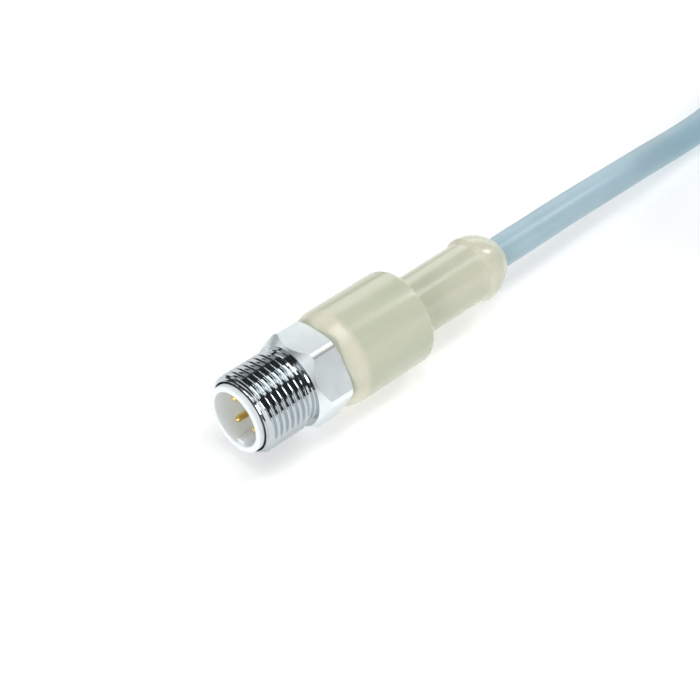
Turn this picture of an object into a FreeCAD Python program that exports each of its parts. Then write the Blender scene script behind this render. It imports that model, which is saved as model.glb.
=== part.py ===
import FreeCAD, Part
import math
import os

V = FreeCAD.Vector

# All lengths are in millimetres. +X runs out of the mating face along the connector's axis, the cable
# leaves towards -X, and +Z is up. The origin is on the axis where the coupling thread reaches its full
# diameter. Turned angles are measured from +Z towards +Y.

# Coupling screw
thread_diameter = 12.0
thread_entry_chamfer = 0.6
thread_length = 7.1
undercut_diameter = 10.9
undercut_width = 1.1
hex_across_flats = 13.0
hex_corner_diameter = 14.5
hex_length = 5.6
hex_first_corner_deg = 27.5
hex_front_land_inset = 0.25
hex_front_chamfer_length = 1.45
hex_rear_chamfer = 0.25
counterbore_in_hex = 0.9
screw_spin_clearance = 0.09
screw_end_play = 0.12

# Contact carrier
shroud_outer_diameter = 10.06
shroud_wall = 0.86
shroud_proud_of_screw = 0.92
shroud_edge_chamfer = 0.12
shroud_depth = 9.0
stem_diameter = 8.6
stem_behind_screw = 4.0
stem_groove_diameter = 7.4
stem_groove_behind_screw = 1.9
stem_groove_width = 1.1
key_deg = 171.5
key_width = 1.4
key_height = 0.62
key_set_back = 0.4
key_rounding = 0.3

# Contact pins
pin_circle_diameter = 5.0
pin_diameter = 1.0
pin_tip_set_back = 1.47
pin_shank_diameter = 1.6
pin_collar_diameter = 1.96
pin_collar_length = 1.3
pin_collar_behind_floor = 3.1
barrel_behind_carrier = 5.0
barrel_bore_depth = 3.6
pin_from_key_deg = 45.0
wire_names = ["brown", "white", "blue", "black"]

# Cable
cable_diameter = 5.0
core_diameter = 1.34
conductor_diameter = 0.62
core_circle_diameter = 2.1
insulation_gap_at_barrel = 0.8
core_straight_length = 1.8
core_bend_length = 3.8
sheath_behind_bend = 2.2

# Moulded body
body_diameter = 14.6
body_gap_to_screw = 0.14
body_front_inset = 1.0
body_front_share_of_wall = 0.6
body_front_edge_length = 2.7
body_front_edge_crown = 0.13
body_length = 15.9
shoulder_rounding = 0.8
neck_front_diameter = 9.14
neck_rear_diameter = 9.3
neck_fillet = 0.7
neck_length = 14.2
bead_diameter = 10.2
bead_step_length = 0.75
bead_land_length = 0.2
dome_length = 4.41
dome_lip_at_cable = 0.65
dome_crown = 0.46

# Inner moulding, under the body
inner_behind_screw = 1.2
inner_barrel_diameter = 11.2
inner_barrel_length = 10.0
inner_cone_length = 4.0
inner_tail_diameter = 7.4
inner_tail_length = 8.0
inner_groove_depth = 0.6
inner_groove_width = 1.3
inner_groove_count = 2

# Cable ties round the hank
tie_width = 3.6
tie_thickness = 0.75
tie_fit = 0.05
tie_head = (5.4, 5.2, 3.4)
tie_head_rounding = 0.5
tie_tail_length = 4.5
tie_tail_inset = 0.2
tie_from_far_end = 9.0

# Hank: turns in two tracks side by side, one layer on another
hank_layers = 5
hank_inner_radius = 15.0
hank_straight = 44.0
hank_behind_body = 71.6
hank_leg_y = -4.9
hank_edge_flat = 0.1
hank_opening_clearance = 1.0
hank_rise_at_way_in = 0.6
tail_end_from_far_end = 16.0

# Free ends of the cores
free_core_length = 22.0
free_core_strip = 6.0
free_core_straight = 2.2
free_core_spacing = 1.5
free_core_inset = 0.45
free_core_lift = 0.03
free_core_places = [2, 3, 0, 1]
upper_core_drop = 13.2
lower_core_drop = 6.6

# How far a form that is fused on reaches into its carrier, a cutter past what it cuts, and how close
# two heights are that count as the same
fused_overlap = 0.2
cutter_overshoot = 1.0
touching = 1e-6

# Surface that the assembly lies on
floor_z = -max(body_diameter, hex_corner_diameter) / 2

metal_front_x = thread_entry_chamfer
hex_front_x = -thread_length - undercut_width
hex_rear_x = hex_front_x - hex_length
screw_shoulder_x = hex_front_x - counterbore_in_hex
front_bore_radius = shroud_outer_diameter / 2 + screw_spin_clearance
rear_bore_radius = stem_diameter / 2 + screw_spin_clearance

carrier_front_x = metal_front_x + shroud_proud_of_screw
shroud_floor_x = carrier_front_x - shroud_depth
shroud_inner_radius = shroud_outer_diameter / 2 - shroud_wall
carrier_step_x = screw_shoulder_x + screw_end_play
stem_groove_front_x = hex_rear_x - stem_groove_behind_screw
stem_rear_x = hex_rear_x - stem_behind_screw

barrel_rear_x = stem_rear_x - barrel_behind_carrier
barrel_bore_front_x = barrel_rear_x + barrel_bore_depth
insulation_front_x = barrel_rear_x - insulation_gap_at_barrel
core_bend_start_x = insulation_front_x - core_straight_length
core_bend_end_x = core_bend_start_x - core_bend_length
sheath_front_x = core_bend_end_x - sheath_behind_bend

body_front_x = hex_rear_x - body_gap_to_screw
body_shoulder_x = body_front_x - body_length
bead_step_x = body_shoulder_x - neck_length
bead_land_x = bead_step_x - bead_step_length
dome_front_x = bead_land_x - bead_land_length
dome_rear_x = dome_front_x - dome_length

inner_front_x = hex_rear_x - inner_behind_screw
inner_barrel_rear_x = inner_front_x - inner_barrel_length
inner_tail_front_x = inner_barrel_rear_x - inner_cone_length
inner_tail_rear_x = inner_tail_front_x - inner_tail_length

cable_radius = cable_diameter / 2
hank_bottom_z = floor_z + tie_thickness + tie_fit
hank_top_z = hank_bottom_z + hank_layers * cable_diameter
layer_z = hank_bottom_z + cable_radius
hank_outer_radius = hank_inner_radius + cable_diameter
hank_centre_y = hank_leg_y + hank_outer_radius
hank_near_x = dome_rear_x - hank_behind_body
hank_far_x = hank_near_x - hank_straight
tail_end_x = hank_far_x + tail_end_from_far_end

# The cable's way from the body to the hank, laid down gently on the surface: how far behind the body
# each point is, then its y and z.
cable_route = [
    (0.0, 0.0, 0.0),
    (7.6, 0.0, 0.0),
    (15.4, -0.45, -0.4),
    (23.8, -1.05, -1.2),
    (32.8, -1.85, -2.3),
    (41.8, -2.75, -3.5),
    (50.1, -3.3, -4.35),
    (57.6, -3.9, -4.6),
    (65.6, hank_leg_y, layer_z),
    (hank_behind_body, hank_leg_y, layer_z),
]


def ring_point(radius, degrees, x):
    """A point at a radius from the axis, turned from +Z towards +Y."""
    angle = math.radians(degrees)
    return V(x, radius * math.sin(angle), radius * math.cos(angle))


def cylinder(radius, x_front, x_rear, centre=None):
    """A cylinder along the axis, or beside it, from x_front back to x_rear."""
    middle = centre or V(0, 0, 0)
    return Part.makeCylinder(radius, x_front - x_rear, V(x_rear, middle.y, middle.z), V(1, 0, 0))


def turned(outline):
    """A solid turned about the axis. The outline is edges of (x, radius) points: two points make a
    line and three an arc through the middle one."""
    edges = []
    for points in outline:
        places = [V(x, 0, radius) for x, radius in points]
        if len(places) == 2:
            edges.append(Part.LineSegment(*places).toShape())
        else:
            edges.append(Part.Arc(*places).toShape())
    face = Part.Face(Part.Wire(edges))
    return solid(face.revolve(V(0, 0, 0), V(1, 0, 0), 360))


def solid(shape):
    """The shape with split faces joined, and turned right side out."""
    clean = shape.removeSplitter()
    if clean.Volume < 0:
        clean.reverse()
    return clean


def arc_middle(a, b, bulge):
    """A third point for a shallow arc from a to b that stands out by bulge, to the larger radius."""
    length = math.hypot(b[0] - a[0], b[1] - a[1])
    across = ((a[1] - b[1]) / length, (b[0] - a[0]) / length)
    if across[1] < 0:
        across = (-across[0], -across[1])
    return ((a[0] + b[0]) / 2 + bulge * across[0], (a[1] + b[1]) / 2 + bulge * across[1])


def quarter(centre, radius, from_deg, to_deg):
    """Three points of an arc about a centre in the (x, radius) plane."""
    points = []
    for degrees in (from_deg, (from_deg + to_deg) / 2, to_deg):
        angle = math.radians(degrees)
        points.append((centre[0] + radius * math.cos(angle), centre[1] + radius * math.sin(angle)))
    return points


def rounded_route(points):
    """Straight runs joined by tangent arcs as large as the runs allow. Returns the wire and its radii."""
    corners = [V(*p) for p in points]
    edges = []
    radii = []
    start = corners[0]
    for before, corner, after in zip(corners, corners[1:], corners[2:]):
        way_in = (corner - before).normalize()
        way_out = (after - corner).normalize()
        turn = way_in.getAngle(way_out)
        reach = 0.45 * min(before.distanceToPoint(corner), corner.distanceToPoint(after))
        radius = reach / math.tan(turn / 2)
        arc_start = corner - way_in * reach
        arc_end = corner + way_out * reach
        inward = (way_out - way_in).normalize()
        middle = corner + inward * (radius / math.cos(turn / 2) - radius)
        edges.append(Part.LineSegment(start, arc_start).toShape())
        edges.append(Part.Arc(arc_start, middle, arc_end).toShape())
        radii.append(round(radius, 1))
        start = arc_end
    edges.append(Part.LineSegment(start, corners[-1]).toShape())
    return Part.Wire(edges), radii


def swept(wire, radius):
    """A round bar along a route."""
    start = wire.Edges[0].valueAt(wire.Edges[0].FirstParameter)
    along = wire.Edges[0].tangentAt(wire.Edges[0].FirstParameter)
    circle = Part.Wire(Part.makeCircle(radius, start, along))
    return wire.makePipeShell([circle], True, False)


def coupling_screw():
    """The threaded shank at its crest diameter, the undercut behind it and the turned-down hexagon."""
    crest = thread_diameter / 2
    root = undercut_diameter / 2
    bore = front_bore_radius
    entry_radius = crest - thread_entry_chamfer
    undercut_front_x = -thread_length - (crest - root) / 2
    shank_rear_x = hex_front_x - fused_overlap
    shank = turned([
        [(metal_front_x, bore), (metal_front_x, entry_radius)],
        [(metal_front_x, entry_radius), (0, crest)],
        [(0, crest), (-thread_length, crest)],
        [(-thread_length, crest), (undercut_front_x, root)],
        [(undercut_front_x, root), (shank_rear_x, root)],
        [(shank_rear_x, root), (shank_rear_x, bore)],
        [(shank_rear_x, bore), (metal_front_x, bore)],
    ])
    corner = hex_across_flats / math.sqrt(3)
    rim = [ring_point(corner, hex_first_corner_deg + 60 * k, hex_rear_x) for k in range(7)]
    nut = Part.Face(Part.makePolygon(rim)).extrude(V(hex_length, 0, 0))
    turned_corner = hex_corner_diameter / 2
    land = hex_across_flats / 2 - hex_front_land_inset
    chamfer_rear_x = hex_front_x - hex_front_chamfer_length
    rear_edge_x = hex_rear_x + hex_rear_chamfer
    rear_edge = turned_corner - 2 * hex_rear_chamfer
    blank = turned([
        [(hex_front_x, rear_bore_radius), (hex_front_x, land)],
        [(hex_front_x, land), (chamfer_rear_x, turned_corner)],
        [(chamfer_rear_x, turned_corner), (rear_edge_x, turned_corner)],
        [(rear_edge_x, turned_corner), (hex_rear_x, rear_edge)],
        [(hex_rear_x, rear_edge), (hex_rear_x, rear_bore_radius)],
        [(hex_rear_x, rear_bore_radius), (hex_front_x, rear_bore_radius)],
    ])
    counterbore = cylinder(bore, hex_front_x + cutter_overshoot, screw_shoulder_x)
    return solid(nut.common(blank).fuse(shank).cut(counterbore))


def pin_deg(index):
    """The contacts stand a quarter turn apart, either side of the key."""
    return key_deg + pin_from_key_deg + 90 * index


def contact_pin(index):
    """A round-nosed pin that steps up to its shank flush with the carrier's floor. The shank has a
    holding collar in the carrier and is a crimp barrel behind it."""
    tip_x = carrier_front_x - pin_tip_set_back
    radius = pin_diameter / 2
    shank = pin_shank_diameter / 2
    collar = pin_collar_diameter / 2
    collar_front_x = shroud_floor_x - pin_collar_behind_floor
    collar_rear_x = collar_front_x - pin_collar_length
    bore = conductor_diameter / 2
    pin = turned([
        quarter((tip_x - radius, 0), radius, 0, 90),
        [(tip_x - radius, radius), (shroud_floor_x, radius)],
        [(shroud_floor_x, radius), (shroud_floor_x, shank)],
        [(shroud_floor_x, shank), (collar_front_x, shank)],
        [(collar_front_x, shank), (collar_front_x, collar)],
        [(collar_front_x, collar), (collar_rear_x, shank)],
        [(collar_rear_x, shank), (barrel_rear_x, shank)],
        [(barrel_rear_x, shank), (barrel_rear_x, bore)],
        [(barrel_rear_x, bore), (barrel_bore_front_x, bore)],
        [(barrel_bore_front_x, bore), (barrel_bore_front_x, 0)],
        [(barrel_bore_front_x, 0), (tip_x, 0)],
    ])
    pin.translate(ring_point(pin_circle_diameter / 2, pin_deg(index), 0))
    return pin


def contact_carrier(pins):
    """The open shroud with its key rib, the floor that holds the pins and the stem behind the screw."""
    outer = shroud_outer_diameter / 2
    inner = shroud_inner_radius
    stem = stem_diameter / 2
    groove = stem_groove_diameter / 2
    groove_rear = stem_groove_front_x - stem_groove_width
    edge = shroud_edge_chamfer
    carrier = turned([
        [(shroud_floor_x, 0), (shroud_floor_x, inner)],
        [(shroud_floor_x, inner), (carrier_front_x - edge, inner)],
        [(carrier_front_x - edge, inner), (carrier_front_x, inner + edge)],
        [(carrier_front_x, inner + edge), (carrier_front_x, outer - edge)],
        [(carrier_front_x, outer - edge), (carrier_front_x - edge, outer)],
        [(carrier_front_x - edge, outer), (carrier_step_x, outer)],
        [(carrier_step_x, outer), (carrier_step_x, stem)],
        [(carrier_step_x, stem), (stem_groove_front_x, stem)],
        [(stem_groove_front_x, stem), (stem_groove_front_x, groove)],
        [(stem_groove_front_x, groove), (groove_rear, groove)],
        [(groove_rear, groove), (groove_rear, stem)],
        [(groove_rear, stem), (stem_rear_x, stem)],
        [(stem_rear_x, stem), (stem_rear_x, 0)],
        [(stem_rear_x, 0), (shroud_floor_x, 0)],
    ])
    rib_rear_x = shroud_floor_x - fused_overlap
    rib_length = carrier_front_x - key_set_back - rib_rear_x
    rib = Part.makeBox(rib_length, key_width, key_height + shroud_wall / 2)
    rib.translate(V(rib_rear_x, -key_width / 2, inner - key_height))
    rib = rib.makeFillet(key_rounding, [e for e in rib.Edges if on_rib_crest(e, inner - key_height)])
    rib.rotate(V(0, 0, 0), V(1, 0, 0), -key_deg)
    carrier = carrier.fuse(rib)
    for pin in pins:
        carrier = carrier.cut(pin)
    return solid(carrier)


def on_rib_crest(edge, crest_z):
    """True for the two long edges of the key rib nearest the axis."""
    box = edge.BoundBox
    return box.XLength > key_width and abs(box.ZMax - crest_z) < touching


def core_way(index):
    """A core's way from its contact's barrel in to the middle of the cable."""
    degrees = pin_deg(index)
    wide = pin_circle_diameter / 2
    narrow = core_circle_diameter / 2
    return rounded_route([
        ring_point(wide, degrees, barrel_bore_front_x),
        ring_point(wide, degrees, core_bend_start_x),
        ring_point(narrow, degrees, core_bend_end_x),
        ring_point(narrow, degrees, dome_rear_x),
    ])[0]


def conductor(index):
    return swept(core_way(index), conductor_diameter / 2)


def core(index, wire):
    """Insulation over a conductor, stripped back from the barrel."""
    stripped = cylinder(body_diameter, metal_front_x, insulation_front_x)
    return solid(swept(core_way(index), core_diameter / 2).cut(stripped).cut(wire))


def cable_sheath_end():
    sheath = cylinder(cable_radius, sheath_front_x, dome_rear_x)
    for index in range(len(wire_names)):
        place = ring_point(core_circle_diameter / 2, pin_deg(index), 0)
        sheath = sheath.cut(cylinder(core_diameter / 2, sheath_front_x, dome_rear_x, place))
    return solid(sheath)


def inner_moulding(held):
    """The grooved moulding that grips the carrier, the crimps, the cores and the sheath."""
    barrel = inner_barrel_diameter / 2
    tail = inner_tail_diameter / 2
    form = turned([
        [(inner_front_x, 0), (inner_front_x, barrel)],
        [(inner_front_x, barrel), (inner_barrel_rear_x, barrel)],
        [(inner_barrel_rear_x, barrel), (inner_tail_front_x, tail)],
        [(inner_tail_front_x, tail), (inner_tail_rear_x, tail)],
        [(inner_tail_rear_x, tail), (inner_tail_rear_x, 0)],
        [(inner_tail_rear_x, 0), (inner_front_x, 0)],
    ])
    step = (inner_front_x - inner_barrel_rear_x) / (inner_groove_count + 1)
    for k in range(inner_groove_count):
        middle = inner_front_x - (k + 1) * step
        ring = cylinder(barrel, middle + inner_groove_width / 2, middle - inner_groove_width / 2)
        core_bar = cylinder(barrel - inner_groove_depth, middle + inner_groove_width, middle - inner_groove_width)
        form = form.cut(ring.cut(core_bar))
    for piece in held:
        form = form.cut(piece)
    return solid(form)


def moulded_body(held):
    """The outer moulding in one piece: crowned front edge, body, shoulder, neck, bead and dome."""
    body = body_diameter / 2
    wall = body - inner_barrel_diameter / 2
    inset = min(body_front_inset, body_front_share_of_wall * wall)
    edge_start = (body_front_x, body - inset)
    edge_end = (body_front_x - body_front_edge_length, body)
    rounding = shoulder_rounding
    rim_front_x = body_shoulder_x + rounding
    neck_front = neck_front_diameter / 2
    neck_rear = neck_rear_diameter / 2
    fillet_end_x = body_shoulder_x - neck_fillet
    bead = bead_diameter / 2
    dome_start = (dome_front_x, bead)
    dome_end = (dome_rear_x, cable_radius + dome_lip_at_cable)
    shape = turned([
        [(body_front_x, 0), edge_start],
        [edge_start, arc_middle(edge_start, edge_end, body_front_edge_crown), edge_end],
        [edge_end, (rim_front_x, body)],
        quarter((rim_front_x, body - rounding), rounding, 90, 180),
        [(body_shoulder_x, body - rounding), (body_shoulder_x, neck_front + neck_fillet)],
        quarter((fillet_end_x, neck_front + neck_fillet), neck_fillet, 0, -90),
        [(fillet_end_x, neck_front), (bead_step_x, neck_rear)],
        [(bead_step_x, neck_rear), (bead_land_x, bead)],
        [(bead_land_x, bead), dome_start],
        [dome_start, arc_middle(dome_start, dome_end, dome_crown), dome_end],
        [dome_end, (dome_rear_x, 0)],
        [(dome_rear_x, 0), (body_front_x, 0)],
    ])
    for piece in held:
        shape = shape.cut(piece)
    return solid(shape)


def cable_run():
    """The cable from the body to the hank."""
    wire, radii = rounded_route([(dome_rear_x - back, y, z) for back, y, z in cable_route])
    tube = swept(wire, cable_radius)
    section = math.pi * cable_radius ** 2
    print("cable run: length", round(wire.Length, 1), "radii", radii)
    print("cable run: volume over section x length", round(tube.Volume / (wire.Length * section), 4))
    return tube


def racetrack(radius_in, radius_out, z_low, z_high, rounding):
    """A ring of two half turns and two straight legs, with rounded edges."""
    height = z_high - z_low
    forms = []
    for radius in (radius_out, radius_in):
        near = Part.makeCylinder(radius, height, V(hank_near_x, hank_centre_y, z_low))
        far = Part.makeCylinder(radius, height, V(hank_far_x, hank_centre_y, z_low))
        legs = Part.makeBox(hank_straight, 2 * radius, height, V(hank_far_x, hank_centre_y - radius, z_low))
        forms.append(near.fuse([far, legs]).removeSplitter())
    ring = forms[0].cut(forms[1])
    rims = [e for e in ring.Edges if e.BoundBox.ZLength < touching]
    return ring.makeFillet(rounding, rims)


def cable_hank():
    """The outer form of the wound cable, open where the run comes in and where its free end lies."""
    inner = hank_inner_radius - cable_radius
    outer = hank_outer_radius + cable_radius
    clear = hank_opening_clearance
    ring = racetrack(inner, outer, hank_bottom_z, hank_top_z, cable_radius - hank_edge_flat)
    way_in_top = hank_bottom_z + cable_diameter + hank_rise_at_way_in
    way_in = Part.makeBox(
        outer + clear, cable_diameter + 3 * clear, way_in_top - floor_z,
        V(hank_near_x, hank_leg_y - cable_radius - clear, floor_z),
    )
    free_end = Part.makeBox(
        free_core_length + 3 * clear, cable_diameter + clear, cable_diameter + clear,
        V(tail_end_x, hank_centre_y + inner - clear, hank_top_z - cable_diameter),
    )
    return solid(ring.cut(way_in).cut(free_end))


def leg_middle_y(side):
    """The middle of the two tracks on the near leg (side -1) or the other leg (side 1)."""
    return hank_centre_y + side * (hank_inner_radius + cable_radius)


def rounded_frame(half_y, half_z, rounding, length):
    """A block along X with its four long edges rounded, about the origin."""
    block = Part.makeBox(length, 2 * half_y, 2 * half_z, V(0, -half_y, -half_z))
    long_edges = [e for e in block.Edges if e.BoundBox.XLength > length / 2]
    return block.makeFillet(rounding, long_edges)


def cable_tie(side):
    """A strap round both tracks of one leg, with its square head and cut tail on top."""
    half_y = cable_diameter + tie_fit
    half_z = (hank_top_z - hank_bottom_z) / 2 + tie_fit
    corner = cable_radius + tie_thickness
    outer = rounded_frame(half_y + tie_thickness, half_z + tie_thickness, corner, tie_width)
    strap = outer.cut(rounded_frame(half_y, half_z, cable_radius, tie_width))
    head_x, head_y, head_z = tie_head
    head = Part.makeBox(head_x, head_y, head_z, V((tie_width - head_x) / 2, -head_y / 2, half_z))
    head = head.makeFillet(tie_head_rounding, [e for e in head.Edges if e.BoundBox.ZLength > touching])
    tail_x = tie_width - 2 * tie_tail_inset
    tail_z = half_z + head_z / 2
    tail = Part.makeBox(tail_x, head_y / 2 + tie_tail_length, tie_thickness, V(tie_tail_inset, 0, tail_z))
    tie = strap.fuse([head, tail])
    middle_z = (hank_top_z + hank_bottom_z) / 2
    tie.translate(V(hank_far_x + tie_from_far_end - tie_width / 2, leg_middle_y(side), middle_z))
    return solid(tie)


def free_end_way(index):
    """A core's way from the cut sheath down on to the layer below."""
    middle_y = hank_centre_y + hank_inner_radius
    sheath_z = hank_top_z - cable_radius
    rest_z = hank_top_z - cable_diameter + core_diameter / 2 + free_core_lift
    start = ring_point(core_circle_diameter / 2, 45 + 90 * index, 0)
    place = free_core_places[index] - (len(wire_names) - 1) / 2
    rest_y = middle_y - free_core_inset + place * free_core_spacing
    drop = upper_core_drop if start.z > 0 else lower_core_drop
    return [
        (tail_end_x, middle_y + start.y, sheath_z + start.z),
        (tail_end_x + free_core_straight, middle_y + start.y, sheath_z + start.z),
        (tail_end_x + drop, rest_y, rest_z),
        (tail_end_x + free_core_length - free_core_strip, rest_y, rest_z),
        (tail_end_x + free_core_length, rest_y, rest_z),
    ]


def free_core(index):
    route = free_end_way(index)[:-1]
    return swept(rounded_route(route)[0], core_diameter / 2)


def free_conductor(index):
    start, end = free_end_way(index)[-2:]
    return Part.makeCylinder(conductor_diameter / 2, free_core_strip, V(*start), V(*end) - V(*start))


def write(shape, name):
    if not shape.isValid() or shape.Volume <= 0:
        raise ValueError(name + " is not a sound solid")
    shape.exportStep("parts/" + name + ".step")
    print(name, "solids", len(shape.Solids), "volume", round(shape.Volume, 2))


def main():
    os.makedirs("parts", exist_ok=True)
    contacts = range(len(wire_names))
    pins = [contact_pin(k) for k in contacts]
    conductors = [conductor(k) for k in contacts]
    cores = [core(k, conductors[k]) for k in contacts]
    sheath_end = cable_sheath_end()
    carrier = contact_carrier(pins)
    inner = inner_moulding([carrier, sheath_end] + pins + conductors + cores)
    stem = cylinder(stem_diameter / 2, body_front_x, inner_front_x)
    cable_way = cylinder(cable_radius, sheath_front_x, dome_rear_x)
    body = moulded_body([inner_moulding([]), stem, cable_way])
    write(coupling_screw(), "coupling_screw")
    write(carrier, "contact_carrier")
    for k in contacts:
        write(pins[k], "contact_pin_" + str(k + 1))
        write(conductors[k], "conductor_" + wire_names[k])
        write(cores[k], "core_" + wire_names[k])
        write(free_core(k), "free_core_" + wire_names[k])
        write(free_conductor(k), "free_conductor_" + wire_names[k])
    write(inner, "inner_moulding")
    write(body, "moulded_body")
    write(sheath_end, "cable_sheath_end")
    write(cable_run(), "cable_run")
    write(cable_hank(), "cable_hank")
    write(cable_tie(-1), "cable_tie_1")
    write(cable_tie(1), "cable_tie_2")


main()
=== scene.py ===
import bmesh
import bpy
import numpy as np
from mathutils import Matrix, Vector


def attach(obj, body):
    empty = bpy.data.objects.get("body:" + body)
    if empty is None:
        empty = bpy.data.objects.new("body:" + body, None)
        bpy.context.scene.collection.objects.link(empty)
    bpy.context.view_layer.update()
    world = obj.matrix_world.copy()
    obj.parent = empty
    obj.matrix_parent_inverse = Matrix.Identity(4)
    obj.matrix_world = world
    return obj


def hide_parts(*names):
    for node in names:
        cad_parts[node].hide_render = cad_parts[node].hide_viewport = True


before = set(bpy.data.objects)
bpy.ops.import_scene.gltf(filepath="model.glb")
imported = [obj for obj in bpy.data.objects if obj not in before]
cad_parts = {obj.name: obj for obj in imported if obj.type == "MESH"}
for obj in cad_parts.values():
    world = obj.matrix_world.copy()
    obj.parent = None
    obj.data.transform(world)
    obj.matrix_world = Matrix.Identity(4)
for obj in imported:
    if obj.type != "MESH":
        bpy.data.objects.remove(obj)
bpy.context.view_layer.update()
mm = 0.001
print("frame loaded:", len(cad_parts), "nodes")


# Mesh helpers

def gridMesh(name, points, closeRows=False, closeColumns=False):
    # A surface of two parameters: points[i, j] is a vertex, and each cell of the grid is one face
    rows, columns = points.shape[:2]
    i = np.arange(rows if closeRows else rows - 1)
    j = np.arange(columns if closeColumns else columns - 1)
    a, b = np.meshgrid(i, j, indexing="ij")
    c = (a + 1) % rows
    d = (b + 1) % columns
    faces = np.stack([a * columns + b, a * columns + d, c * columns + d, c * columns + b], -1)
    mesh = bpy.data.meshes.new(name)
    mesh.from_pydata(points.reshape(-1, 3).tolist(), [], faces.reshape(-1, 4).tolist())
    return mesh


mergeDistance = 2e-6  # metres


def cleanMesh(mesh):
    # Merge what meets, drop faces without area and turn the normals outwards
    work = bmesh.new()
    work.from_mesh(mesh)
    bmesh.ops.remove_doubles(work, verts=work.verts, dist=mergeDistance)
    bmesh.ops.dissolve_degenerate(work, edges=work.edges, dist=mergeDistance)
    bmesh.ops.recalc_face_normals(work, faces=work.faces)
    work.to_mesh(mesh)
    work.free()
    mesh.update()
    return mesh


def shadeMesh(mesh, sharpDeg):
    # Smooth up to an angle between faces
    mesh.shade_smooth()
    mesh.set_sharp_from_angle(angle=np.radians(sharpDeg))
    mesh.update()
    return mesh


def finishMesh(mesh, sharpDeg):
    return shadeMesh(cleanMesh(mesh), sharpDeg)


def readArray(items, key, width=1, kind=np.float64):
    values = np.empty(width * len(items), kind)
    items.foreach_get(key, values)
    return values


def faceMiddles(mesh):
    # The x, y and z of every face's middle, in millimetres
    return readArray(mesh.polygons, "center", 3).reshape(-1, 3).T / mm


def newPiece(name, mesh, materials, replaces, body="connector"):
    piece = bpy.data.objects.new(name, mesh)
    bpy.context.scene.collection.objects.link(piece)
    for material in materials:
        mesh.materials.append(material)
    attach(piece, body)
    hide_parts(*replaces)
    return piece


def joinMeshes(name, meshes):
    # One mesh of several: vertices and faces one after another, with a material number for each mesh or face
    points, corners, starts, numbers = [], [], [], []
    vertexCount = cornerCount = 0
    for number, mesh in meshes:
        points.append(readArray(mesh.vertices, "co", 3))
        corners.append(readArray(mesh.loops, "vertex_index", kind=np.int32) + vertexCount)
        starts.append(readArray(mesh.polygons, "loop_start", kind=np.int32) + cornerCount)
        numbers.append(np.broadcast_to(number, len(mesh.polygons)))
        vertexCount += len(mesh.vertices)
        cornerCount += len(mesh.loops)
    joined = bpy.data.meshes.new(name)
    joined.vertices.add(vertexCount)
    joined.vertices.foreach_set("co", np.concatenate(points))
    joined.loops.add(cornerCount)
    joined.loops.foreach_set("vertex_index", np.concatenate(corners))
    joined.polygons.add(sum(len(one) for one in starts))
    joined.polygons.foreach_set("loop_start", np.concatenate(starts))
    joined.polygons.foreach_set("material_index", np.concatenate(numbers).astype(np.int32))
    joined.update(calc_edges=True)
    return joined


def roundedProfile(corners, steps):
    # A closed outline of (x, radius, fillet): each corner becomes an arc that is tangent to both its sides
    leastTurn, mostOfSide = 0.02, 0.49  # radians that count as a corner, and the share of a side for its arc
    points = np.array([c[:2] for c in corners], float)
    made = []
    for k, fillet in enumerate(c[2] for c in corners):
        here = points[k]
        wayIn = here - points[k - 1]
        wayOut = points[(k + 1) % len(points)] - here
        lengthIn, lengthOut = np.linalg.norm(wayIn), np.linalg.norm(wayOut)
        wayIn, wayOut = wayIn / lengthIn, wayOut / lengthOut
        turn = np.arccos(np.clip(wayIn @ wayOut, -1, 1))
        if fillet <= 0 or turn < leastTurn:
            made.append(here[None])
            continue
        reach = min(fillet * np.tan(turn / 2), mostOfSide * lengthIn, mostOfSide * lengthOut)
        t = np.linspace(0, 1, steps + 1)[:, None]
        start, end = here - wayIn * reach, here + wayOut * reach
        weight = np.cos(turn / 2)
        bottom = (1 - t) ** 2 + 2 * t * (1 - t) * weight + t ** 2
        made.append(((1 - t) ** 2 * start + 2 * t * (1 - t) * weight * here + t ** 2 * end) / bottom)
    return np.concatenate(made)


def turnedMesh(name, profile, columns, closed=True):
    # Each point (x, r) of the outline goes round the X axis: (x, r sin a, r cos a) for the angle a
    angle = np.linspace(0, 2 * np.pi, columns, endpoint=False)
    x, r = profile[:, 0, None], profile[:, 1, None]
    points = np.stack([x + 0 * angle, r * np.sin(angle), r * np.cos(angle)], -1) * mm
    return gridMesh(name, points, closeRows=closed, closeColumns=True)


# Material helpers

noiseRoughness = 0.55  # how much of each finer octave is mixed in
glossSpread = 0.05  # how far a plastic's roughness varies either way


def newMaterial(name, **values):
    material = bpy.data.materials.new(name)
    material.use_nodes = True
    shader = material.node_tree.nodes["Principled BSDF"]
    for socket, value in values.items():
        shader.inputs[socket.replace("_", " ")].default_value = value
    return material, material.node_tree, shader


def addNode(tree, kind, settings=None, **inputs):
    node = tree.nodes.new(kind)
    for key, value in (settings or {}).items():
        setattr(node, key, value)
    for key, value in inputs.items():
        socket = node.inputs[key.replace("_", " ")]
        if isinstance(value, bpy.types.NodeSocket):
            tree.links.new(value, socket)
        else:
            socket.default_value = value
    return node


def objectPoint(tree, scale=(1, 1, 1)):
    place = addNode(tree, "ShaderNodeTexCoord").outputs["Object"]
    return addNode(tree, "ShaderNodeMapping", Vector=place, Scale=scale).outputs["Vector"]


def noise(tree, vector, scale, detail):
    node = addNode(tree, "ShaderNodeTexNoise", Vector=vector, Scale=scale, Detail=detail, Roughness=noiseRoughness)
    return node.outputs["Fac"]


def ramp(tree, factor, stops):
    node = addNode(tree, "ShaderNodeValToRGB", Fac=factor)
    for k, (place, colour) in enumerate(stops):
        stop = node.color_ramp.elements[k] if k < 2 else node.color_ramp.elements.new(place)
        stop.position = place
        stop.color = (*colour, 1)
    return node.outputs["Color"]


def spread(tree, factor, low, high):
    return addNode(tree, "ShaderNodeMapRange", Value=factor, To_Min=low, To_Max=high).outputs["Result"]


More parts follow.
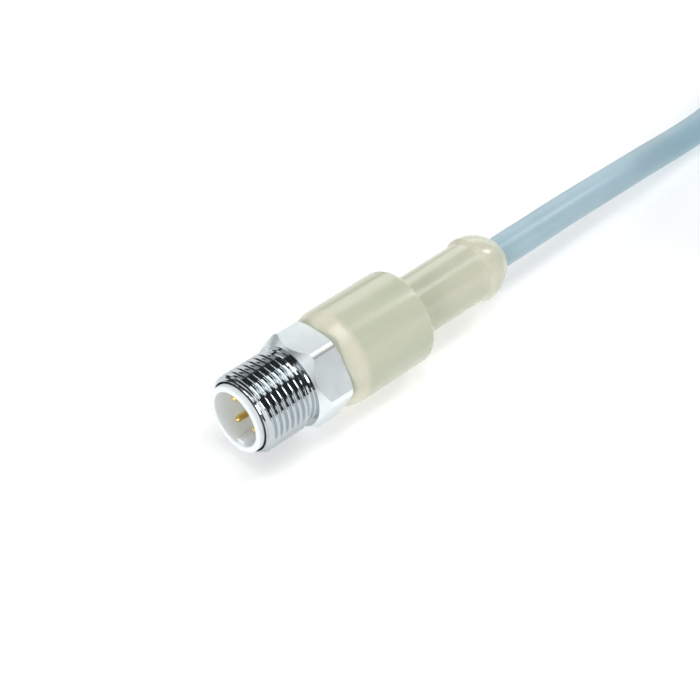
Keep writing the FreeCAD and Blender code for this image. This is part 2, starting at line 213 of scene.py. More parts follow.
def bump(tree, shader, height, depth):
    node = addNode(tree, "ShaderNodeBump", Height=height, Distance=depth, Strength=1.0)
    tree.links.new(node.outputs["Normal"], shader.inputs["Normal"])


def letLightIn(shader, weight, radius, scale):
    # A little light goes into the plastic and comes out beside
    shader.inputs["Subsurface Weight"].default_value = weight
    shader.inputs["Subsurface Radius"].default_value = radius
    shader.inputs["Subsurface Scale"].default_value = scale


# Materials

creamLook = {
    # Along X in millimetres: the front lip's band is painted lighter and warmer, a painted highlight for the light
    # on its rounded edge, and the bead is lighter and warmer too
    "from": -50.0, "to": -13.0, "roughness": 0.22, "grain": 2600.0, "depth": 0.000004,
    "shades": [(-48.0, (0.76, 0.76, 0.61)), (-44.0, (0.75, 0.745, 0.60)), (-42.5, (0.69, 0.70, 0.555)),
               (-31.0, (0.69, 0.70, 0.555)), (-28.5, (0.66, 0.69, 0.535)), (-17.4, (0.67, 0.695, 0.54)),
               (-16.4, (0.81, 0.78, 0.64)), (-15.4, (0.82, 0.79, 0.65)), (-14.2, (0.70, 0.715, 0.58))],
    "bands": (40.0, 230.0, 230.0), "bandShades": [(0.35, (0.90, 0.92, 0.90)), (0.65, (1, 1, 1))],
    "lightIn": (0.2, (1.0, 0.9, 0.6), 0.0007),
}


def creamMoulding(c):
    # The body's moulding: a shade for each place along X, with the painted highlight on the front lip, slow bands
    # of flow along it, and a fine skin
    material, tree, shader = newMaterial("creamMoulding", IOR=1.5)
    place = objectPoint(tree)
    along = addNode(tree, "ShaderNodeSeparateXYZ", Vector=place).outputs["X"]
    share = addNode(tree, "ShaderNodeMapRange", Value=along, From_Min=c["from"] * mm, From_Max=c["to"] * mm)
    stops = [((x - c["from"]) / (c["to"] - c["from"]), shade) for x, shade in c["shades"]]
    shades = ramp(tree, share.outputs["Result"], stops)
    flow = noise(tree, objectPoint(tree, c["bands"]), 1.0, 2.0)
    clouds = ramp(tree, flow, c["bandShades"])
    both = addNode(tree, "ShaderNodeMix", {"data_type": "RGBA", "blend_type": "MULTIPLY"})
    both.inputs[0].default_value = 1.0
    tree.links.new(shades, both.inputs[6])  # the colour sockets A and B
    tree.links.new(clouds, both.inputs[7])
    tree.links.new(both.outputs[2], shader.inputs["Base Color"])
    fine = noise(tree, place, c["grain"], 4.0)
    gloss = spread(tree, fine, c["roughness"] - glossSpread, c["roughness"] + glossSpread)
    tree.links.new(gloss, shader.inputs["Roughness"])
    bump(tree, shader, fine, c["depth"])
    letLightIn(shader, *c["lightIn"])
    return material


mouldedLook = {"cloud": 60.0, "lightRadius": (1.0, 1.0, 1.0), "lightScale": 0.0008}


def moulded(name, colours, roughness, grain, depth, subsurface=0.0):
    # A moulded plastic: slow clouds in its colour, and a fine skin that also breaks up its shine
    material, tree, shader = newMaterial(name, IOR=1.5)
    place = objectPoint(tree)
    fine = noise(tree, place, grain, 4.0)
    clouds = noise(tree, place, mouldedLook["cloud"], 2.0)
    tree.links.new(ramp(tree, clouds, [(0.3, colours[0]), (0.7, colours[1])]), shader.inputs["Base Color"])
    gloss = spread(tree, fine, roughness - glossSpread, roughness + glossSpread)
    tree.links.new(gloss, shader.inputs["Roughness"])
    bump(tree, shader, fine, depth)
    if subsurface:
        letLightIn(shader, subsurface, mouldedLook["lightRadius"], mouldedLook["lightScale"])
    return material


def metal(name, colour, roughness, streaks, depth, waves=0.0):
    # A turned or plated metal: streaks that run round the axis, because the noise is stretched across X, and
    # slow waves of the plating where it isn't mirror bright
    material, tree, shader = newMaterial(name, Metallic=1.0)
    lines = noise(tree, objectPoint(tree, (streaks, streaks * 0.06, streaks * 0.06)), 1.0, 4.0)
    soft = noise(tree, objectPoint(tree), 260.0, 2.0)
    darker = tuple(0.93 * c for c in colour)
    tree.links.new(ramp(tree, soft, [(0.3, darker), (0.7, colour)]), shader.inputs["Base Color"])
    tree.links.new(spread(tree, lines, 0.75 * roughness, 1.3 * roughness), shader.inputs["Roughness"])
    bump(tree, shader, lines, depth)
    if waves:
        slow = addNode(tree, "ShaderNodeBump", Height=noise(tree, objectPoint(tree), 330.0, 1.0), Distance=waves)
        tree.links.new(slow.outputs["Normal"], shader.inputs["Normal"].links[0].from_node.inputs["Normal"])
    return material


chrome = metal("brightPlating", (0.59, 0.642, 0.668), 0.06, 9000.0, 0.0000005)
satin = metal("satinPlating", (0.85, 0.918, 0.935), 0.36, 14000.0, 0.0000012, waves=0.00003)
landShine = metal("landPlating", (0.93, 0.97, 0.98), 0.2, 9000.0, 0.0000008)
# Painted shade: a near-black plating for the bore and the front recess, darker than the metal itself, where shade
# falls inside the screw
paintedBoreShade = metal("paintedBoreShade", (0.16, 0.17, 0.18), 0.5, 9000.0, 0.000001)
gold = metal("goldPlating", (0.93, 0.66, 0.22), 0.2, 12000.0, 0.0000008)
copper = metal("bareCopper", (0.88, 0.52, 0.36), 0.3, 9000.0, 0.000001)
creamPlastic = creamMoulding(creamLook)
whitePlastic = moulded("whiteMoulding", [(0.875, 0.935, 0.965), (0.905, 0.96, 0.985)], 0.5, 3200.0, 0.000005,
                       subsurface=0.2)
# Painted shadow: a near-black plastic for the shroud's strip in the joint with the metal, for the shade in the gap
paintedJointShadow = moulded("paintedJointShadow", [(0.07, 0.075, 0.085), (0.10, 0.105, 0.115)], 0.6, 3200.0, 0.000005)
innerPlastic = moulded("innerMoulding", [(0.52, 0.51, 0.46), (0.58, 0.57, 0.52)], 0.5, 2400.0, 0.000006)
tieNylon = moulded("tieNylon", [(0.78, 0.78, 0.72), (0.84, 0.84, 0.79)], 0.42, 2800.0, 0.000004, subsurface=0.3)
coreColours = {"brown": (0.17, 0.075, 0.035), "white": (0.82, 0.82, 0.80), "blue": (0.02, 0.10, 0.42),
               "black": (0.015, 0.015, 0.016)}
coreSkins = {}
for wire, colour in coreColours.items():
    paler = tuple(min(1.0, 1.25 * c + 0.005) for c in colour)
    coreSkins[wire] = moulded(wire + "Insulation", [colour, paler], 0.42, 4000.0, 0.000003)


sheathLook = {
    "shades": [(0.3, (0.405, 0.57, 0.65)), (0.7, (0.455, 0.625, 0.705))], "cloud": 90.0,
    "grain": 2400.0, "depth": 0.000004, "roughness": (0.34, 0.46),
}


def sheathSkin(c):
    # The extruded sheath: slow clouds in its colour, and a fine skin that also breaks up its shine
    material, tree, shader = newMaterial("sheathSkin", IOR=1.5)
    place = objectPoint(tree)
    fine = noise(tree, place, c["grain"], 4.0)
    slow = noise(tree, place, c["cloud"], 2.0)
    tree.links.new(ramp(tree, slow, c["shades"]), shader.inputs["Base Color"])
    tree.links.new(spread(tree, fine, *c["roughness"]), shader.inputs["Roughness"])
    bump(tree, shader, fine, c["depth"])
    return material


sheathPlastic = sheathSkin(sheathLook)
print("materials made")


# Camera and stage

camera = {
    "azimuth": 135.8005, "elevation": 40.8123, "place": (110.192, 133.889, 160.67), "lens": 90.418,
    "sensor": 36, "nearest": 0.005, "furthest": 20,
}


def makeCamera(c):
    a, e = np.radians(c["azimuth"]), np.radians(c["elevation"])
    back = Vector((np.sin(a) * np.cos(e), -np.cos(a) * np.cos(e), np.sin(e)))
    right = Vector((np.cos(a), np.sin(a), 0))
    data = bpy.data.cameras.new("camera")
    data.lens = c["lens"]
    data.sensor_width = c["sensor"]
    data.clip_start = c["nearest"]
    data.clip_end = c["furthest"]
    seen = bpy.data.objects.new("camera", data)
    turn = Matrix((right, back.cross(right), back)).transposed().to_4x4()
    seen.matrix_world = Matrix.Translation(Vector(c["place"]) * mm) @ turn
    bpy.context.scene.collection.objects.link(seen)
    bpy.context.scene.camera = seen


stageLook = {
    "floorZ": -7.3, "floorSize": 3.0, "floorRoughness": 0.8, "floorGlow": 0.5,
    "floorShades": [(0.2, (0.60, 0.60, 0.60)), (0.8, (0.62, 0.62, 0.62))],
    "lights": [  # name, place, aim, size, power
        ("key", (-0.01, 0.047, 0.44), (-0.01, 0, 0), (0.2, 0.34), 0.58),
        ("front", (0.405, 0.164, 0.107), (0, 0, 0), (0.14, 0.14), 0.70),
        ("rear", (-0.36, 0.06, 0.27), (-0.03, 0, 0), (0.05, 0.14), 0.33),
    ],
}
tentLook = {
    "edgeDeg": 6.0, "edgeX": 0.17,  # width of a panel's soft edge, in degrees and in X share
    "cloth": 0.045,  # radiance of the dark cloth between the panels
    "backdrop": 0.9,  # radiance of the pale cloth that a low view sees behind the floor
    "panels": [  # as directions: turns about X in degrees from +Z towards +Y, X shares, radiance
        (-14, 16, -0.28, 0.20, 1.8),  # overhead
        (-6, 29, 0.20, 0.52, 1.1),  # overhead in front
        (3, 16, 0.52, 0.83, 2.0),  # narrow strip further in front
        (0, 15, -1.2, -0.465, 2.0),  # overhead behind
        (-78, -41, -1.2, -0.465, 2.0),  # left behind
        (-67, -50, -0.465, 0.15, 0.6),  # left, dim
        (-78, -40, 0.15, 0.5, 1.2),  # left in front
        (-27, -14, -0.05, 0.2, 0.4),  # beside the overhead panel
        (69, 91, -1.2, -0.465, 1.5),  # right behind, low
        (72, 79, -0.465, -0.28, 1.1),  # its narrow end
        (28, 47, 0.5, 0.8, 0.6),  # right in front, dim
        (78, 85, 0.5, 0.8, 0.5),  # thin one below it
        (35, 66, 0.83, 1.2, 2.0),  # front end, right
        (-10, 4, 0.83, 1.2, 2.0),  # front end, over
        (-93, -78, 0.83, 1.2, 2.0),  # front end, low left
    ],
}


def makeFloor(s):
    # One square at the height that the connector and the hank lie on
    half = s["floorSize"] / 2
    corners = np.array([[[-half, -half], [half, -half]], [[-half, half], [half, half]]])
    points = np.dstack([corners, np.full((2, 2), s["floorZ"] * mm)])
    floor = bpy.data.objects.new("floor", gridMesh("floor", points))
    material, tree, shader = newMaterial("paleFloor", Roughness=s["floorRoughness"])
    shade = ramp(tree, noise(tree, objectPoint(tree), 3.0, 2.0), s["floorShades"])
    tree.links.new(shade, shader.inputs["Base Color"])
    shader.inputs["Emission Color"].default_value = (1, 1, 1, 1)
    shader.inputs["Emission Strength"].default_value = s["floorGlow"]
    floor.data.materials.append(material)
    bpy.context.scene.collection.objects.link(floor)


def maths(tree, operation, *values):
    node = addNode(tree, "ShaderNodeMath", {"operation": operation})
    for socket, value in zip(node.inputs, values):
        if isinstance(value, bpy.types.NodeSocket):
            tree.links.new(value, socket)
        else:
            socket.default_value = value
    return node.outputs[0]


def window(tree, value, low, high, soft):
    # 1 from low to high and 0 outside, with an even edge
    away = maths(tree, "ABSOLUTE", maths(tree, "SUBTRACT", value, (low + high) / 2))
    half = (high - low) / 2
    node = addNode(tree, "ShaderNodeMapRange", Value=away, From_Min=half + soft / 2, From_Max=half - soft / 2)
    return node.outputs["Result"]


def tentWorld(t):
    # A dark tent with soft panels, as the turned metal mirrors it
    world = bpy.data.worlds.new("tent")
    world.use_nodes = True
    tree = world.node_tree
    way = addNode(tree, "ShaderNodeTexCoord").outputs["Generated"]
    parts = addNode(tree, "ShaderNodeSeparateXYZ", Vector=way).outputs
    turn = maths(tree, "DEGREES", maths(tree, "ARCTAN2", parts["Y"], parts["Z"]))
    glow = t["cloth"]
    for turnFrom, turnTo, xFrom, xTo, radiance in t["panels"]:
        inTurn = window(tree, turn, turnFrom, turnTo, t["edgeDeg"])
        inX = window(tree, parts["X"], xFrom, xTo, t["edgeX"])
        panel = maths(tree, "MULTIPLY", maths(tree, "MULTIPLY", inTurn, inX), radiance)
        glow = maths(tree, "MAXIMUM", glow, panel)
    # Looked at straight it is plain pale cloth, while the metal and the plastic still mirror the tent
    straight = addNode(tree, "ShaderNodeLightPath").outputs["Is Camera Ray"]
    tentShare = maths(tree, "MULTIPLY", glow, maths(tree, "SUBTRACT", 1.0, straight))
    glow = maths(tree, "ADD", tentShare, maths(tree, "MULTIPLY", straight, t["backdrop"]))
    background = tree.nodes["Background"]
    background.inputs["Color"].default_value = (1, 1, 1, 1)
    tree.links.new(glow, background.inputs["Strength"])
    bpy.context.scene.world = world


def makeLight(name, place, aim, size, power):
    data = bpy.data.lights.new(name, "AREA")
    data.shape = "RECTANGLE"
    data.size, data.size_y = size
    data.energy = power
    lamp = bpy.data.objects.new(name, data)
    lamp.location = place
    lamp.rotation_mode = "QUATERNION"
    lamp.rotation_quaternion = (Vector(aim) - Vector(place)).to_track_quat("-Z", "Y")
    bpy.context.scene.collection.objects.link(lamp)


def makeStage(s):
    makeFloor(s)
    tentWorld(tentLook)
    for light in s["lights"]:
        makeLight(*light)
    bpy.context.scene.view_settings.view_transform = "Standard"


makeCamera(camera)
makeStage(stageLook)
print("camera and stage made")


# Cable: the run from the body, then the hank

cable = {
    "diameter": 5.0, "length": 2.0, "exitX": -49.4,
    "nearX": -121.0, "straight": 44.0, "legY": -4.9, "layerZ": -4.0,
    "innerRadius": 15.0, "pointsPerTurn": 40, "tailPastFarArc": 16.0,
    "legShare": 0.22, "changeLength": 0.12, "changeStep": 0.037, "lastChangeEnd": 0.98,
    "order": 3, "stepsBetween": 5, "roundSteps": 6,
}
cableRoute = [  # the solid's points, in millimetres, the last three moved a little to follow the photograph
    (-49.4, 0, 0), (-57.0, 0, 0), (-64.8, -0.45, -0.4), (-73.2, -1.05, -1.2), (-82.2, -1.85, -2.3),
    (-91.2, -2.75, -3.5), (-99.5, -3.25, -4.4), (-109.0, -3.75, -4.7), (-116.0, -4.8, -4.15),
]
hankPlaces = [(1, 0), (0, 0), (0, 1), (1, 1), (1, 2), (0, 2), (0, 3), (1, 3), (1, 4), (0, 4)]  # track, layer


def hankTurns(c):
    # Round the racetrack once for each turn. A turn keeps its track and layer until it changes to the next one
    # near the way in, by a smooth step, and the last turn changes first so that none crosses another
    share, count = c["legShare"], c["pointsPerTurn"]
    lastTurn = 0.5 + share * c["tailPastFarArc"] / c["straight"]  # half way round, and then along the back
    turns = len(hankPlaces) - 1
    whole = np.arange(turns * count) / count
    tail = turns + np.linspace(0, lastTurn, int(count * lastTurn) + 1)
    along = np.concatenate([whole, tail])
    turn = np.minimum(along.astype(int), turns)
    q = along - turn
    places = np.array(hankPlaces + [hankPlaces[-1]], float)
    end = c["lastChangeEnd"] - c["changeStep"] * turn
    t = np.clip((q - end + c["changeLength"]) / c["changeLength"], 0, 1)
    t = np.where(turn == turns, 0, t * t * (3 - 2 * t))[:, None]
    place = places[turn] * (1 - t) + places[turn + 1] * t
    radius = c["innerRadius"] + c["diameter"] * place[:, 0]
    z = c["layerZ"] + c["diameter"] * place[:, 1]
    farX = c["nearX"] - c["straight"]
    middleY = c["legY"] + c["innerRadius"] + c["diameter"]
    legs = [q < share, q < 0.5, q < 0.5 + share]
    onLeg = q / share
    onBack = (q - 0.5) / share
    onFar = np.pi * (q - share) / (0.5 - share)
    onNear = np.pi * (q - 0.5 - share) / (0.5 - share)
    x = np.select(legs, [c["nearX"] - c["straight"] * onLeg, farX - radius * np.sin(onFar),
                         farX + c["straight"] * onBack], c["nearX"] + radius * np.sin(onNear))
    y = np.select(legs, [-radius, -radius * np.cos(onFar), radius], radius * np.cos(onNear)) + middleY
    return np.stack([x, y, z], -1)


def makeCable(c):
    points = np.concatenate([np.array(cableRoute, float), hankTurns(c)]) * mm
    curve = bpy.data.curves.new("cable", "CURVE")
    curve.dimensions = "3D"
    spline = curve.splines.new("NURBS")
    spline.points.add(len(points) - 1)
    spline.points.foreach_set("co", np.c_[points, np.ones(len(points))].ravel())
    spline.order_u = c["order"]
    spline.use_endpoint_u = True
    curve.resolution_u = c["stepsBetween"]
    curve.bevel_depth = c["diameter"] / 2 * mm
    curve.bevel_resolution = c["roundSteps"]
    curve.use_fill_caps = True
    curve.materials.append(sheathPlastic)
    piece = bpy.data.objects.new("cable", curve)
    bpy.context.scene.collection.objects.link(piece)
    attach(piece, "connector")
    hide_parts("cable_run", "cable_hank")
    return piece


cablePiece = makeCable(cable)
print("cable made")


# Moulded body: body, neck, bead and dome in one

bodyForm = {
    "frontX": -13.94, "frontRadius": 6.3, "edgeLength": 2.7, "radius": 7.3, "shoulderX": -29.84, "rounding": 0.8,
    "neckFront": 4.57, "neckRear": 4.65, "neckFillet": 0.7, "beadStepX": -44.04, "beadLandX": -44.79,
    "bead": 5.1, "domeFrontX": -44.99, "domeRearX": -49.4, "domeEnd": 3.15, "domeBulge": 1.84, "cableRadius": 2.5,
    "innerTailX": -37.0, "innerTail": 3.7, "coneRearX": -29.0, "coneFrontX": -25.0, "innerBarrel": 5.6,
    "innerFrontX": -15.0, "stem": 4.3, "stemGap": 0.05, "frontFillet": 0.15, "bendX": 0.9, "bendRise": 0.55,
    "bend": 2.5, "beadFillet": 0.25, "endFillet": 0.2, "domePoints": 10, "columns": 160,
}


def bodyProfile(b):
    dome = np.linspace(0, 1, b["domePoints"] + 2)[1:-1]
    chord = np.array([b["domeRearX"] - b["domeFrontX"], b["domeEnd"] - b["bead"]])
    across = np.array([chord[1], -chord[0]]) / np.linalg.norm(chord)
    domeRows = [(b["domeFrontX"] + chord[0] * t + b["domeBulge"] * t * (1 - t) * across[0],
                 b["bead"] + chord[1] * t + b["domeBulge"] * t * (1 - t) * across[1], 0) for t in dome]
    return roundedProfile([
        (b["frontX"], b["stem"] + b["stemGap"], 0),
        (b["frontX"], b["frontRadius"], b["frontFillet"]),
        (b["frontX"] - b["bendX"], b["frontRadius"] + b["bendRise"], b["bend"]),
        (b["frontX"] - b["edgeLength"], b["radius"], b["bend"]),
        (b["shoulderX"], b["radius"], b["rounding"]),
        (b["shoulderX"], b["neckFront"], b["neckFillet"]),
        (b["beadStepX"], b["neckRear"], b["beadFillet"]),
        (b["beadLandX"], b["bead"], b["beadFillet"]),
        (b["domeFrontX"], b["bead"], 0),
        *domeRows,
        (b["domeRearX"], b["domeEnd"], b["endFillet"]),
        (b["domeRearX"], b["cableRadius"], 0),
        (b["innerTailX"], b["cableRadius"], 0),
        (b["innerTailX"], b["innerTail"], 0),
        (b["coneRearX"], b["innerTail"], 0),
        (b["coneFrontX"], b["innerBarrel"], 0),
        (b["innerFrontX"], b["innerBarrel"], 0),
        (b["innerFrontX"], b["stem"] + b["stemGap"], 0),
    ], steps=8)


def makeBody(b):
    mesh = finishMesh(turnedMesh("mouldedBody", bodyProfile(b), b["columns"]), 40)
    newPiece("mouldedBody", mesh, [creamPlastic], replaces=["moulded_body"])


makeBody(bodyForm)
print("body made")


# Coupling screw: threaded shank, undercut and hexagon

screwForm = {
    "crest": 6.0, "root": 5.387, "pitch": 1.0, "frontX": 0.6, "chamfer": 0.6, "threadEndX": -7.1,
    "undercut": 5.45, "hexFrontX": -8.2, "bore": 5.12, "rearBore": 4.39, "shoulderX": -9.1,
    "hexRearX": -13.8, "flat": 6.5, "corner": 7.25, "land": 6.25, "frontChamfer": 1.45, "rearChamfer": 0.25,
    "crown": 0.03, "firstCornerDeg": 27.5, "grooveX": -0.6, "grooveDeg": 38.0, "columns": 144, "rowsPerPitch": 14,
    "recess": 1.2, "recessRadius": 5.28, "recessEdge": 0.05, "runOutSlope": 1.6, "overlap": 0.1, "lap": 0.02,
    "undercutFall": 0.3, "undercutFillet": 0.12, "insideHexagon": 0.2, "frontOverlap": 0.3,
    "flatColumns": 17, "cornerDegs": [28.5, 30, 31.5], "turnedBand": 0.03, "sharpDeg": 14,
}


def threadMesh(s):
    # Rows follow the helix: at an angle a, row k lies at x = start - pitch * (k / rows + a / turn), so the
    # crest and the root are each one clean line. The profile is a cosine wave, and the radius is the smallest of
    # it and of both run-outs, but no smaller at the rear than the root
    columns, rows, pitch = s["columns"], s["rowsPerPitch"], s["pitch"]
    turns = int(np.ceil((s["frontX"] - s["threadEndX"]) / pitch)) + 2
    angle = np.linspace(0, 2 * np.pi, columns + 1)
    start = s["grooveX"] + pitch * np.radians(s["grooveDeg"]) / (2 * np.pi) + pitch * 2
    row = np.arange(turns * rows + 1)[:, None]
    x = start - pitch * (row / rows + angle / (2 * np.pi))
    profile = s["root"] + (s["crest"] - s["root"]) * (0.5 - 0.5 * np.cos(2 * np.pi * row / rows)) + 0 * angle
    frontRadius, rearX = s["crest"] - s["chamfer"], s["threadEndX"] - s["overlap"]
    entry = frontRadius + (s["frontX"] - x)
    runOut = np.maximum(s["undercut"] + (x - s["threadEndX"]) * s["runOutSlope"], s["root"])
    radius = np.minimum(np.minimum(profile, entry), runOut)
    radius = np.where(x >= s["frontX"], frontRadius, radius)
    radius = np.where(x <= rearX, s["root"], radius)
    clampedX = np.clip(x, rearX, s["frontX"])
    points = np.stack([clampedX, radius * np.sin(angle), radius * np.cos(angle)], -1) * mm
    return gridMesh("thread", points)


def sleeveMesh(s):
    # The bore, the front ring and the undercut, turned
    endX, hexX, frontX = s["threadEndX"], s["hexFrontX"], s["frontX"]
    recessX, frontRadius = frontX - s["recess"], s["crest"] - s["chamfer"]
    filletRadius, insideX = s["undercut"] + s["undercutFillet"], hexX - s["insideHexagon"]
    rows = np.array([
        (endX + s["overlap"], s["root"] - s["lap"]), (endX - s["overlap"], s["root"]),
        (endX - s["undercutFall"], s["undercut"]), (hexX + s["undercutFillet"], s["undercut"]),
        (hexX, filletRadius), (insideX, filletRadius), (insideX, s["bore"]), (recessX, s["bore"]),
        (recessX, s["recessRadius"]), (frontX - s["recessEdge"], s["recessRadius"]),
        (frontX, s["recessRadius"] + s["recessEdge"]), (frontX, frontRadius),
        (frontX - s["frontOverlap"], frontRadius - s["lap"]),
    ])
    return turnedMesh("sleeve", rows, s["columns"])


def hexMesh(s):
    # Each column goes from the bore over the rear edge, the flat or the turned corner, and the front cone. The
    # flat's radius at an angle a from its middle is flat / cos(a), cut off at the corner's own radius, and
    # polishing has crowned it a little
    half = np.arccos(s["flat"] / s["corner"])
    oneSide = np.concatenate([np.linspace(-half, half, s["flatColumns"]), np.radians(s["cornerDegs"])])
    angle = np.concatenate([oneSide + k * np.pi / 3 for k in range(6)])
    local = (angle + np.pi / 6) % (np.pi / 3) - np.pi / 6
    angle = angle + np.radians(s["firstCornerDeg"] + 30)
    crown = s["crown"] * (1 - np.minimum(1, (local / half) ** 2))
    outer = np.minimum(s["flat"] / np.cos(local), s["corner"]) + crown
    coneX = s["hexFrontX"] - s["frontChamfer"] * (outer - s["land"]) / (s["corner"] - s["land"])
    rearRadius = s["corner"] - 2 * s["rearChamfer"]
    rearX = s["hexRearX"] + s["rearChamfer"] * np.clip((outer - rearRadius) / (s["corner"] - rearRadius), 0, 1)
    columnX = [s["shoulderX"], s["hexRearX"], s["hexRearX"], rearX, coneX, s["hexFrontX"], s["hexFrontX"],
               s["shoulderX"]]
    columnR = [s["rearBore"], s["rearBore"], np.minimum(outer, rearRadius), outer, outer, s["land"], s["bore"],
               s["bore"]]
    x, r = (np.array([np.broadcast_to(one, len(angle)) for one in column]) for column in (columnX, columnR))
    points = np.stack([x, r * np.sin(angle), r * np.cos(angle)], -1) * mm
    return gridMesh("hexagon", points, closeRows=True, closeColumns=True)


def hexFinishes(mesh, s):
    # Material numbers: 2 on the turned-down corners, 0 on the front ring, and 1 on the flats and the cone
    x, y, z = faceMiddles(mesh)
    along = readArray(mesh.polygons, "normal", 3)[::3]
    turned = np.hypot(y, z) > s["corner"] - s["turnedBand"]
    corner = turned & (along < 0.3) & (x > s["hexRearX"] + s["overlap"])
    return np.select([corner, along > 0.9], [2, 0], 1)


def paintedShadeInBore(mesh, s):
    # Material number 3 in the bore and the front recess, a rougher plating whose near-black colour is painted
    # shade, and 0 on the rest of the turned sleeve
    x, y, z = faceMiddles(mesh)
    return np.where(np.hypot(y, z) < s["recessRadius"] + 0.01, 3, 0)


def makeScrew(s):
    thread, sleeve, hexagon = cleanMesh(threadMesh(s)), cleanMesh(sleeveMesh(s)), cleanMesh(hexMesh(s))
    mesh = joinMeshes("couplingScrew", [
        (0, thread), (paintedShadeInBore(sleeve, s), sleeve), (hexFinishes(hexagon, s), hexagon)])
    newPiece("couplingScrew", shadeMesh(mesh, s["sharpDeg"]), [chrome, satin, landShine, paintedBoreShade],
             replaces=["coupling_screw"], body="coupling")


makeScrew(screwForm)
print("screw made")


# Contact carrier: shroud with its key rib, floor and stem

carrierForm = {
    "frontX": 1.52, "outer": 5.03, "inner": 4.17, "edge": 0.13, "floorX": -7.48, "stepX": -8.98, "stem": 4.3,
    "stemRearX": -17.8, "grooveFrontX": -15.7, "grooveRearX": -16.8, "groove": 3.7, "floorFillet": 0.15,
    "keyDeg": 171.5, "keyWidth": 1.4, "keyHeight": 0.62, "keyRounding": 0.3, "keySetBack": 0.4,
    "keyColumns": 15, "columns": 76, "jointFrontX": 0.7, "jointRearX": 0.0, "jointDepth": 0.1,
    "besideDegs": [10.4, 11.2, 12.1, 13, 14], "circleFromDeg": 16.5, "footRise": 0.05, "floorShare": 0.6,
}


def keyOutline(c):
    # Half of the bore's outline with the rib, as (across, outwards) from the rib's middle: its crest, a quarter
    # round, its side, and then the bore's circle. Column angles go with it, one degree apart up to the circle
    half, crest, rounding = c["keyWidth"] / 2, c["inner"] - c["keyHeight"], c["keyRounding"]
    quarter = np.radians([22.5, 45, 67.5, 90])
    foot = np.sqrt(c["inner"] ** 2 - half ** 2)
    side = crest + rounding
    beside = np.radians(c["besideDegs"])
    across = np.concatenate([
        [0, (half - rounding) / 2, half - rounding], half - rounding + rounding * np.sin(quarter),
        [half, half, half], c["inner"] * np.sin(beside)])
    out = np.concatenate([
        [crest] * 3, side - rounding * np.cos(quarter), [(side + foot) / 2, foot - c["footRise"], foot],
        c["inner"] * np.cos(beside)])
    angle = np.concatenate([np.radians(np.arange(c["keyColumns"])),
                            np.radians(np.linspace(c["circleFromDeg"], 180, c["columns"]))])
    across = np.concatenate([across, c["inner"] * np.sin(angle[c["keyColumns"]:])])
    out = np.concatenate([out, c["inner"] * np.cos(angle[c["keyColumns"]:])])
    mirrored = slice(-2, 0, -1)
    return (np.concatenate([angle, 2 * np.pi - angle[mirrored]]), np.concatenate([across, -across[mirrored]]),
            np.concatenate([out, out[mirrored]]))


def carrierMesh(c):
    # Rows from the stem's rear end forward outside, over the rim, and back inside to the floor's middle. A row is
    # a circle, or the bore's outline with the rib times a share
    angle, across, out = keyOutline(c)
    rows = [(x, r * np.sin(angle), r * np.cos(angle)) for x, r in roundedProfile([
        (c["stemRearX"], 0, 0), (c["stemRearX"], c["stem"], 0), (c["grooveRearX"], c["stem"], 0),
        (c["grooveRearX"], c["groove"], 0), (c["grooveFrontX"], c["groove"], 0), (c["grooveFrontX"], c["stem"], 0),
        (c["stepX"], c["stem"], 0), (c["stepX"], c["outer"], 0), (c["jointRearX"], c["outer"], 0),
        (c["jointFrontX"], c["outer"], 0), (c["frontX"], c["outer"], c["edge"]),
        (c["frontX"], c["inner"], c["edge"]), (c["frontX"] - c["keySetBack"], c["inner"], 0)], steps=5)]
    inside = [(c["frontX"] - c["keySetBack"], 1.0), (c["floorX"] + c["floorFillet"], 1.0)]
    turn = np.linspace(0, np.pi / 2, 5)[1:]
    inside += [(c["floorX"] + c["floorFillet"] * (1 - np.sin(t)),
                1 - c["floorFillet"] / c["inner"] * (1 - np.cos(t))) for t in turn]
    inside += [(c["floorX"], c["floorShare"]), (c["floorX"], 0)]
    rows += [(x, share * across, share * out) for x, share in inside]
    x = np.array([np.full(len(angle), row[0]) for row in rows])
    side = np.array([row[1] for row in rows])
    up = np.array([row[2] for row in rows])
    key = np.radians(c["keyDeg"])
    points = np.stack([x, side * np.cos(key) + up * np.sin(key), up * np.cos(key) - side * np.sin(key)], -1) * mm
    return gridMesh("contactCarrier", points, closeColumns=True)


def makeCarrier(c):
    # Material number 1, painted shadow: the strip of the shroud's outside that lies in the joint with the metal is
    # near black for the shade in the gap
    mesh = finishMesh(carrierMesh(c), 40)
    x, y, z = faceMiddles(mesh)
    outside = np.hypot(y, z) > c["outer"] - c["jointDepth"]
    inPaintedShadow = outside & (x > c["jointRearX"]) & (x < c["jointFrontX"])
    mesh.polygons.foreach_set("material_index", inPaintedShadow.astype(np.int32))
    newPiece("contactCarrier", mesh, [whitePlastic, paintedJointShadow],
             replaces=["contact_carrier"])


makeCarrier(carrierForm)
print("carrier made")


# Contact pins

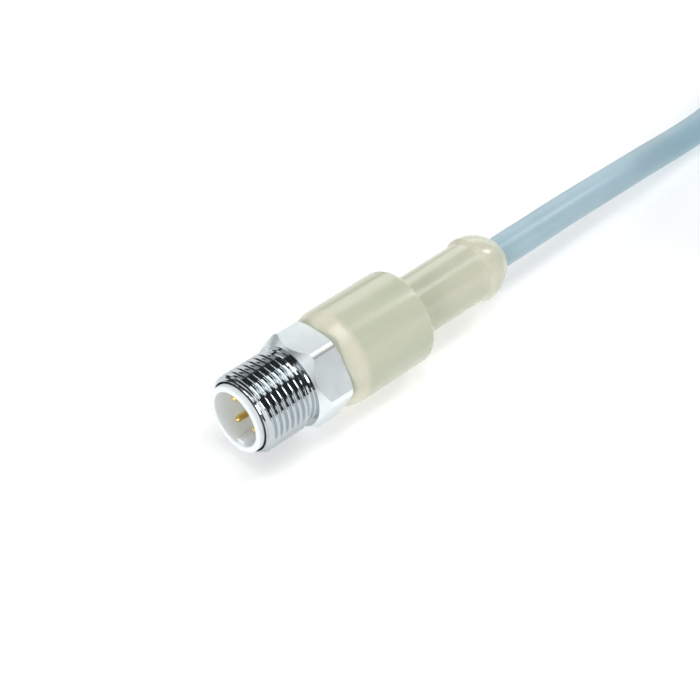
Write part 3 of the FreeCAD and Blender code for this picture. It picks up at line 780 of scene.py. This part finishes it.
pinForm = {
    "circle": 2.5, "tipX": 0.05, "radius": 0.5, "floorX": -7.48, "shank": 0.8, "collar": 0.98, "collarX": -10.58,
    "collarRearX": -11.88, "barrelX": -22.8, "bore": 0.31, "boreX": -19.2, "fromKeyDeg": 45.0,
    "nosePoints": 9, "columns": 40,
}


def pinMesh(p, deg):
    # A turned outline: the round nose is a quarter circle, then the pin, its shank with a collar, and the barrel
    nose = np.linspace(0, np.pi / 2, p["nosePoints"])
    tip = np.stack([p["tipX"] - p["radius"] * (1 - np.cos(nose)), p["radius"] * np.sin(nose)], -1)
    back = np.array([(p["floorX"], p["radius"]), (p["floorX"], p["shank"]), (p["collarX"], p["shank"]),
                     (p["collarX"], p["collar"]), (p["collarRearX"], p["shank"]), (p["barrelX"], p["shank"]),
                     (p["barrelX"], p["bore"]), (p["boreX"], p["bore"]), (p["boreX"], 0)])
    mesh = turnedMesh("contactPin", np.concatenate([tip, back]), p["columns"], closed=False)
    place = Vector((0, p["circle"] * np.sin(np.radians(deg)), p["circle"] * np.cos(np.radians(deg)))) * mm
    mesh.transform(Matrix.Translation(place))
    return finishMesh(mesh, 30)


for number in range(4):
    turned = carrierForm["keyDeg"] + pinForm["fromKeyDeg"] + 90 * number
    newPiece(f"contactPin{number + 1}", pinMesh(pinForm, turned), [gold],
             replaces=[f"contact_pin_{number + 1}"])
print("pins made")


# Finishes of the solids, those that stay in view and those that a piece above replaces

def dressNodes():
    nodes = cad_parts
    plain = {"contact_carrier": whitePlastic, "inner_moulding": innerPlastic, "cable_sheath_end": sheathPlastic,
             "cable_tie_1": tieNylon, "cable_tie_2": tieNylon, "coupling_screw": chrome,
             "moulded_body": creamPlastic, "cable_run": sheathPlastic, "cable_hank": sheathPlastic}
    for wire, skin in coreSkins.items():
        plain["core_" + wire] = skin
        plain["free_core_" + wire] = skin
        plain["conductor_" + wire] = copper
        plain["free_conductor_" + wire] = copper
    for k in range(4):
        plain[f"contact_pin_{k + 1}"] = gold
    for name, material in plain.items():
        data = nodes[name].data
        data.materials.clear()
        data.materials.append(material)


dressNodes()
print("finishes made")
